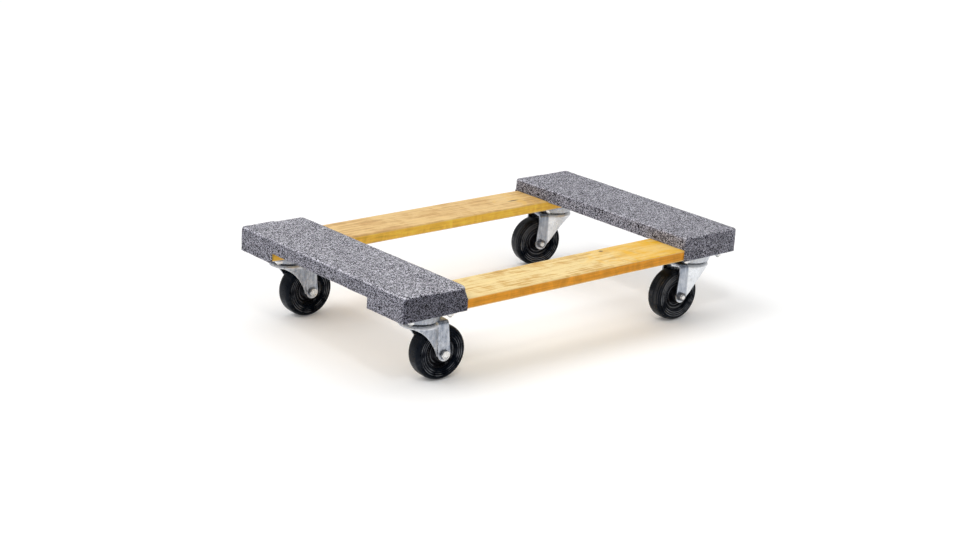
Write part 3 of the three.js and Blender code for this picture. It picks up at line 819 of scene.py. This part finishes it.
def crown_rows():
    """The fork's sheet from the kingpin's hole, over the crown and down its bend, as rows of points."""
    loop = crown_loop(CROWN_BEND)
    hole = KINGPIN_HOLE * spokes(np.arctan2(loop[:, 1], loop[:, 0]))
    rows = []
    for i in range(CROWN_ROWS):
        rows.append(level(hole + (loop - hole) * i / CROWN_ROWS, CROWN_TOP))
    for j in range(BEND_ROWS + 1):
        rise = math.pi / 2 * (1 - j / BEND_ROWS)
        pull = CROWN_BEND * (1 - math.cos(rise))
        z = CROWN_TOP - CROWN_BEND * (1 - math.sin(rise))
        rows.append(level(crown_loop(pull), z))
    return rows


def wall_ends(top):
    """Where each column of the bend goes to below, and the right leg's rear corner."""
    count = len(top)
    end = top.copy()
    for i in range(FIRST_ARC, LAST_ARC + 1):
        across = np.sign(round(top[i % count, 1], 6))
        foot = np.array([CREASE_X, across * LEG_HALF, FOOT_Z])
        end[i % count] = ruling_end(top[i % count], foot)
    path = tip_path(end[FIRST_ARC], SIDE_COLUMNS)
    for i in range(SIDE_COLUMNS + 1):
        for sign, column in ((1, FIRST_ARC - i), (-1, LAST_ARC + i)):
            end[column % count] = (path[i, 0], sign * LEG_HALF, path[i, 1])
    return end, np.array([path[-1, 0], -LEG_HALF, path[-1, 1]])


def fork_mesh():
    """The stamped fork: a crown with a bent-down rim that runs into two legs with a crease."""
    rows = crown_rows()
    top = rows[EDGE_ROW]
    count = len(top)
    end, rear_corner = wall_ends(top)
    for j in range(1, WALL_ROWS + 1):
        wall = top + (end - top) * j / WALL_ROWS
        # The rear edge has no wall below it, so its first column is free to be the right leg's rear.
        wall[0] = top[0] + (rear_corner - top[0]) * j / WALL_ROWS
        rows.append(wall)
    # A painted highlight runs along the legs' cut edges and round the crown's bend.
    rim = np.zeros((len(rows), count))
    length = np.linalg.norm(end - top, axis=1)
    for j in range(WALL_ROWS + 1):
        rim[EDGE_ROW + j] = smooth_step(-length * (1 - j / WALL_ROWS), -3.0, -0.6)
    rim[CROWN_ROWS + 2:EDGE_ROW + 1, FIRST_ARC:LAST_ARC + 1] = 0.8
    faces = []
    for row in range(len(rows) - 1):
        for i in range(REAR_COLUMNS if row >= CROWN_ROWS else 0, count):
            a, b = row * count + i, row * count + (i + 1) % count
            faces.append((a, a + count, b + count, b))
    used = sorted({v for face in faces for v in face})
    new = {old: i for i, old in enumerate(used)}
    points = np.vstack(rows)[used]
    faces = [tuple(new[v] for v in face) for face in faces]
    normals = point_normals(points, faces)
    everything, closed = shell(points, points - normals * SHEET, faces)
    mesh = make_mesh("fork_sheet", everything * MM, closed, 38)
    # Ahead of the creases the sheet gets a painted reflection, which makes it brighter.
    set_attribute(mesh, "painted_reflection", smooth_step(-everything[:, 0], -CREASE_X, -CREASE_X + 2))
    set_attribute(mesh, "rim", np.tile(rim.ravel()[used], 2))
    return mesh


AXLE_SEAT = LEG_HALF + 0.3
AXLE_HEX = 8.25 * math.cos(math.pi / 6)
AXLE_HEX_THICK = 5.0
PLATE_HALF = (52.0, 40.0)
PLATE_CORNER = 9.0
PLATE_BOTTOM, PLATE_TOP = 120.3, 123.3
PLATE_THICK = PLATE_TOP - PLATE_BOTTOM
# The underside of the dish, as (radius, height) from the kingpin outwards.
DISH = ((6.2, 108.0), (12, 108.0), (16.5, 108.2), (18.2, 109.6), (19.6, 111.0), (21.5, 111.6),
        (24.5, 111.6), (26.4, 111.0), (27.6, 109.4), (28.6, 107.8), (30.2, 107.2), (32.2, 107.2),
        (33.4, 107.9), (34.2, 109.6), (37.2, 118.4), (38.2, 119.9), (39.8, 120.3))


def plate_outline(per_corner, per_side):
    """A rectangle with round corners, as points in order round it."""
    arcs = []
    for turn, (sx, sy) in enumerate(((1, 1), (-1, 1), (-1, -1), (1, -1))):
        centre = np.array([sx * (PLATE_HALF[0] - PLATE_CORNER), sy * (PLATE_HALF[1] - PLATE_CORNER)])
        angles = (turn + np.arange(per_corner + 1) / per_corner) * math.pi / 2
        arcs.append(centre + PLATE_CORNER * spokes(angles))
    outline = []
    for arc, after in zip(arcs, arcs[1:] + arcs[:1]):
        outline += list(arc)
        outline += [arc[-1] + (after[0] - arc[-1]) * k / per_side for k in range(1, per_side)]
    return np.array(outline)


def plate_mesh():
    """The top plate, with the swivel race pressed down into a dish, worked out from its underside."""
    outline = plate_outline(6, 14)
    count = len(outline)
    ways = spokes(np.arctan2(outline[:, 1], outline[:, 0]))
    rows = [level(ways * r, z) for r, z in DISH]
    inner = rows[-1][:, :2]
    for share in (0.3, 0.65, 1.0):
        rows.append(level(inner + (outline - inner) * share, PLATE_BOTTOM))
    points = np.vstack(rows)
    faces = []
    for row in range(len(rows) - 1):
        for i in range(count):
            a, b = row * count + i, row * count + (i + 1) % count
            faces.append((b, b + count, a + count, a))
    normals = point_normals(points, faces)
    inside = points - normals * PLATE_THICK
    inside[:, 2] = np.minimum(inside[:, 2], PLATE_TOP)
    everything, closed = shell(points, inside, faces)
    mesh = make_mesh("plate_pressing", everything * MM, closed, 38)
    # The dish's wall gets a painted reflection at half strength, which makes it brighter.
    reach = np.hypot(everything[:, 0], everything[:, 1])
    set_attribute(mesh, "painted_reflection", 0.5 * smooth_step(reach, 26, 30) * smooth_step(-reach, -40, -38))
    return mesh


def kingpin_mesh():
    rows = [(98.0, 0.6), (98.0, 9.4), (98.5, 10.9), (99.6, 11.8), (101.0, 12), (101.0, 5.5), (111.3, 5.5),
            (111.3, 8.6), (111.9, 9), (113.0, 8.8), (113.9, 7.4), (114.3, 5), (114.3, 0.6)]
    return turned_mesh("kingpin_rivet", rows, 48)


def ball_ring_mesh():
    """The bearing: a ring of balls with a thin cage ring on each side of their middle."""
    balls, pitch, radius, centre_z = 20, 23.0, 2.95, CROWN_TOP + 3.3
    columns, bands, cage_half = 14, 8, 0.5
    tilts = [-math.pi / 2 + math.pi * band / bands for band in range(1, bands)]
    ball_outline = [(radius * math.sin(tilt), radius * math.cos(tilt)) for tilt in tilts]
    ball_points, ball_faces = turned(rounds(ball_outline, columns))
    ball_points[-2:, 2] = (-radius, radius)
    points, faces = [], []
    for ball in range(balls):
        angle = ball * math.tau / balls
        faces += [tuple(v + len(points) for v in face) for face in ball_faces]
        points += list(ball_points + (pitch * math.cos(angle), pitch * math.sin(angle), centre_z))
    for inner, outer in ((19.2, 20.4), (25.6, 26.8)):
        loop = ((-cage_half, inner), (-cage_half, outer), (cage_half, outer), (cage_half, inner))
        cage_points, cage_faces = turned(rounds([(z + centre_z, r) for z, r in loop], 80), True)
        faces += [tuple(v + len(points) for v in face) for face in cage_faces]
        points += list(cage_points)
    return make_mesh("race_balls", np.array(points) * MM, faces)


def carriage_bolt_mesh():
    """A round-headed bolt with a thicker neck under its head, and the hexagon nut on its end."""
    tip, nut_bottom, nut_top, head_bottom, head_top = 111.5, 114.5, 120.0, 158.9, 161.9
    shank, neck = 3.1, 4.2
    rings = rounds([(tip, 0.5), (tip, 2.3), (tip + 0.5, 2.9)])
    rings += rounds(thread(tip + 0.5, nut_bottom - 0.3, 3.2, 1.1, 0.5))
    rings += rounds([(nut_bottom + 0.4, 2.9), (nut_bottom, 3.5)])
    rings += hex_rings(nut_bottom, nut_top, 5.54)
    rings += rounds([(nut_top, shank), (head_bottom - 3.5, shank)])
    rings += rounds([(head_bottom - 3.2, neck), (head_bottom, neck)])
    rings += rounds([(head_bottom, 7.9), (head_bottom + 0.8, 8.0), (head_bottom + 1.8, 6.6),
                     (head_bottom + 2.6, 4.2), (head_top, 1.6), (head_top, 0.4)])
    points, faces = turned(rings)
    return make_mesh("round_head_bolt", points * MM, faces, 28)


def axle_bolt_mesh():
    """The axle: along z here, with its head at the bottom."""
    head, end = AXLE_SEAT + AXLE_HEX_THICK, 30.6
    rings = rounds([(-head + 0.5, 0.5), (-head + 0.5, 4.6), (-head, 5.4)])
    rings += hex_rings(-head, -AXLE_SEAT - 0.4, AXLE_HEX, False)
    rings += rounds([(-AXLE_SEAT - 0.4, 6.9), (-AXLE_SEAT, 6.9), (-AXLE_SEAT, 4.8)])
    rings += rounds([(AXLE_SEAT - 2, 4.8), (AXLE_SEAT - 2, 4.6)])
    rings += rounds(thread(AXLE_SEAT - 1, end - 0.8, 4.8, 1.25, 0.6))
    rings += rounds([(end - 0.4, 4.1), (end, 3.5), (end, 0.5)])
    points, faces = turned(rings)
    return make_mesh("hexagon_axle_bolt", points * MM, faces, 28)


def axle_nut_mesh():
    top, bore = AXLE_SEAT + AXLE_HEX_THICK, 5.0
    rings = hex_rings(AXLE_SEAT, top, AXLE_HEX)
    rings += rounds([(top, bore + 0.8), (top - 0.7, bore)])
    rings += rounds([(AXLE_SEAT + 0.7, bore), (AXLE_SEAT, bore + 0.8)])
    points, faces = turned(rings, True)
    return make_mesh("hexagon_nut", points * MM, faces, 28)


def mirrored(half):
    """An outline drawn for one side of the wheel, closed into a loop with its mirror image."""
    return list(half) + [(-z, r) for z, r in reversed(half)]


def tyre_mesh():
    """The solid tyre: a slightly crowned tread, and side walls with three moulded rings."""
    half = [(0.1, 27.0), (12.2, 27.0), (12.9, 27.2), (14.1, 27.7), (15.0, 28.2), (15.3, 28.8), (15.0, 29.4)]
    for start in (30.4, 34.0, 37.6):
        half += [(14.2, start), (15.4, start + 0.6), (15.9, start + 0.9)]
        half += [(15.9, start + 1.8), (14.9, start + 2.3), (14.3, start + 2.9)]
    half += [(15.0, 41.1), (15.6, 41.8), (15.4, 42.8), (14.8, 44.0), (13.6, 45.2), (12.0, 46.2), (9.8, 46.9),
             (6.8, 47.2), (3.2, 47.28), (0.1, 47.3)]
    outline = mirrored(half)
    columns = 128
    mesh = turned_mesh("tyre_tread", outline, columns, True, 40)
    # The crests of the side walls get a painted highlight.
    painted_crest_highlight = smooth_step(np.array([abs(z) for z, r in outline]), 15.6, 15.85)
    set_attribute(mesh, "painted_crest_highlight", np.repeat(painted_crest_highlight, columns))
    return mesh


def core_mesh():
    """The moulded wheel core: a hub tube, a recessed web, and a knurled rim under the tyre."""
    half = [(0.1, 9.6), (19.4, 9.6), (20.0, 10.1), (20.0, 13.0), (19.5, 13.7), (14.0, 14.1), (11.0, 14.5),
            (9.0, 15.0), (8.2, 16.0), (8.0, 17.2), (9.6, 17.9), (10.4, 18.5), (10.5, 19.2), (9.8, 20.0),
            (8.4, 20.8), (7.6, 21.8), (7.6, 22.8), (8.4, 23.4), (11.6, 23.8), (11.9, 24.2), (11.9, 25.4),
            (12.3, 25.6), (12.4, 26.6), (0.1, 26.6)]
    outline = mirrored(half)
    columns, tooth_columns, tooth_depth = 160, 4, 1.5
    between = np.arange(columns) // (tooth_columns // 2) % 2 == 1
    rings = []
    for z, r in outline:
        loop = ring(z, r, columns)
        if 23.6 < r < 25.5:
            loop[between, 2] -= math.copysign(tooth_depth, z)
        rings.append(loop)
    points, faces = turned(rings, True)
    mesh = make_mesh("wheel_centre", points * MM, faces, 30)
    # The web's raised ring and the teeth get the crests' painted highlight.
    painted_crest_highlight = [0.8 * (18.2 < r < 19.6) + 0.9 * (11.5 < abs(z) < 12.2) for z, r in outline]
    set_attribute(mesh, "painted_crest_highlight", np.repeat(painted_crest_highlight, columns))
    return mesh


def sleeve_mesh():
    half = [(0.1, 5.25), (19.9, 5.25), (20.4, 5.7), (20.4, 8.6), (19.9, 9.1), (0.1, 9.1)]
    return turned_mesh("bearing_sleeve", mirrored(half), 48, True)


def caster(corner):
    """Places one caster's pieces by its two joints."""
    pin = Vector(JOINTS[corner + "_swivel_turn"]["pos_m"])
    spin = JOINTS[corner + "_wheel_spin"]
    hub = Vector(spin["pos_m"])
    turn = math.atan2(-spin["axis"][0], spin["axis"][1])
    fixed = Matrix.Translation((pin.x, pin.y, 0))
    turning = fixed @ Matrix.Rotation(turn, 4, "Z")
    # A turned part's own z becomes the wheel's axis, from its head on -y to its nut on +y.
    rolling = Matrix.Translation(hub) @ Matrix.Rotation(turn, 4, "Z") @ Matrix.Rotation(-math.pi / 2, 4, "X")
    swivel, wheel = corner + "_swivel", corner + "_wheel"
    zinc, steel = ZINC[corner.split("_")[1]], "fastener_steel"
    bolt_turn, nut_turn = (Matrix.Rotation(angle, 4, "Z") for angle in (0.5, 0.2))

    def add(name, mesh, material, body, node, at):
        return piece(f"{corner}_{name}", mesh, material, body, [f"{corner}_{node}"], at)

    soften(add("plate_pressing", PLATE, zinc, "deck", "top_plate", fixed), 0.5 * MM)
    add("kingpin_rivet", KINGPIN, STEEL, "deck", "kingpin", fixed)
    for number in range(1, 5):
        node = f"carriage_bolt_{number}"
        low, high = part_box(f"{corner}_{node}")
        spot = Matrix.Translation(((low.x + high.x) / 2, (low.y + high.y) / 2, 0))
        # No two nuts are turned alike.
        spot = spot @ Matrix.Rotation(0.4 + 1.9 * number + 0.7 * CORNERS.index(corner), 4, "Z")
        add(node + "_round_head", CARRIAGE_BOLT, STEEL, "deck", node, spot)
    soften(add("fork_sheet", FORK, zinc, swivel, "fork", turning), 0.45 * MM)
    add("race_balls", BALLS, BALL_STEEL, swivel, "ball_ring", turning)
    add("bearing_sleeve", SLEEVE, STEEL, swivel, "axle_sleeve", rolling)
    add("hexagon_bolt", AXLE_BOLT, STEEL, swivel, "axle_bolt", rolling @ bolt_turn)
    add("hexagon_nut", AXLE_NUT, DULL_STEEL, swivel, "axle_nut", rolling @ nut_turn)
    add("tyre_tread", TYRE, RUBBER, wheel, "tyre", rolling)
    add("wheel_centre", CORE, PLASTIC, wheel, "wheel_core", rolling)


PLATE = plate_mesh()
KINGPIN = kingpin_mesh()
CARRIAGE_BOLT = carriage_bolt_mesh()
FORK = fork_mesh()
BALLS = ball_ring_mesh()
SLEEVE = sleeve_mesh()
AXLE_BOLT = axle_bolt_mesh()
AXLE_NUT = axle_nut_mesh()
TYRE = tyre_mesh()
CORE = core_mesh()
for corner_name in CORNERS:
    caster(corner_name)

# -------- floor, light and camera


def studio_floor():
    """A wide pale floor, just under the wheels."""
    half, drop = 30.0, 0.4 * MM
    n = Nodes("pale_floor")
    cloud = n.noise(n.place(), 1.5)
    pale = n.ramp(cloud, ((0.3, (0.90, 0.90, 0.90)), (0.7, (0.93, 0.93, 0.93))))
    n.wire(Base_Color=pale, Roughness=0.85, Emission_Color=(1.0, 1.0, 1.0, 1), Emission_Strength=0.10)
    corners = [(-half, -half, 0), (half, -half, 0), (half, half, 0), (-half, half, 0)]
    mesh = make_mesh("floor", corners, [(0, 1, 2, 3)])
    floor = bpy.data.objects.new("floor", mesh)
    floor.location.z = -drop
    mesh.materials.append(n.material)
    bpy.context.scene.collection.objects.link(floor)


def lamp(name, kind, place, power, aim=(0, 0, 0)):
    """A lamp that shines from place towards aim."""
    data = bpy.data.lights.new(name, kind)
    data.energy = power
    obj = bpy.data.objects.new(name, data)
    obj.location = place
    obj.rotation_euler = (Vector(aim) - Vector(place)).to_track_quat("-Z", "Y").to_euler()
    bpy.context.scene.collection.objects.link(obj)
    return data


def studio_light():
    """A grey surround that is brightest high on the far side, two wide suns and a small soft lamp."""
    glow_way, glow_low, glow_high = (0.05, 0.75, 0.65), 0.20, 0.72
    world = bpy.data.worlds.new("studio")
    bpy.context.scene.world = world
    world.use_nodes = True
    nodes, links = world.node_tree.nodes, world.node_tree.links
    toward = nodes.new("ShaderNodeVectorMath")
    toward.operation = "DOT_PRODUCT"
    toward.inputs[1].default_value = glow_way
    links.new(nodes.new("ShaderNodeTexCoord").outputs["Generated"], toward.inputs[0])
    glow = nodes.new("ShaderNodeMapRange")
    for socket, value in ((1, -0.9), (2, 0.9), (3, glow_low), (4, glow_high)):
        glow.inputs[socket].default_value = value
    links.new(toward.outputs["Value"], glow.inputs[0])
    # Where it is seen past the floor's far edge, the backdrop is as pale as the floor.
    seen = nodes.new("ShaderNodeMix")
    seen.inputs["B"].default_value = 1.0
    links.new(nodes.new("ShaderNodeLightPath").outputs["Is Camera Ray"], seen.inputs["Factor"])
    links.new(glow.outputs[0], seen.inputs["A"])
    back = nodes["Background"]
    back.inputs["Color"].default_value = (1.0, 1.0, 1.0, 1)
    links.new(seen.outputs["Result"], back.inputs["Strength"])
    lamp("key", "SUN", (-2.0, 0.6, 2.4), 1.15).angle = math.radians(35)
    lamp("top", "SUN", (0.6, 0.4, 2.6), 0.55).angle = math.radians(60)
    lamp("front", "AREA", (-1.1, -1.5, 2.3), 12, (0.0, -0.1, 0.1)).size = 0.35


def camera():
    """A long lens from above the near left corner, held slightly out of level."""
    place = (-2.1834, -2.4737, 1.1412)
    right = Vector((0.7610, -0.6467, 0.0534)).normalized()
    up = Vector((0.1605, 0.2673, 0.9502)).normalized()
    data = bpy.data.cameras.new("view")
    data.sensor_width = 36
    data.lens = 71.87
    obj = bpy.data.objects.new("view", data)
    back = right.cross(up).normalized()
    up = back.cross(right)
    turn = Matrix((right, up, back)).transposed().to_4x4()
    obj.matrix_world = Matrix.Translation(place) @ turn
    bpy.context.scene.collection.objects.link(obj)
    bpy.context.scene.camera = obj


studio_floor()
studio_light()
camera()
bpy.context.scene.view_settings.view_transform = "Standard"
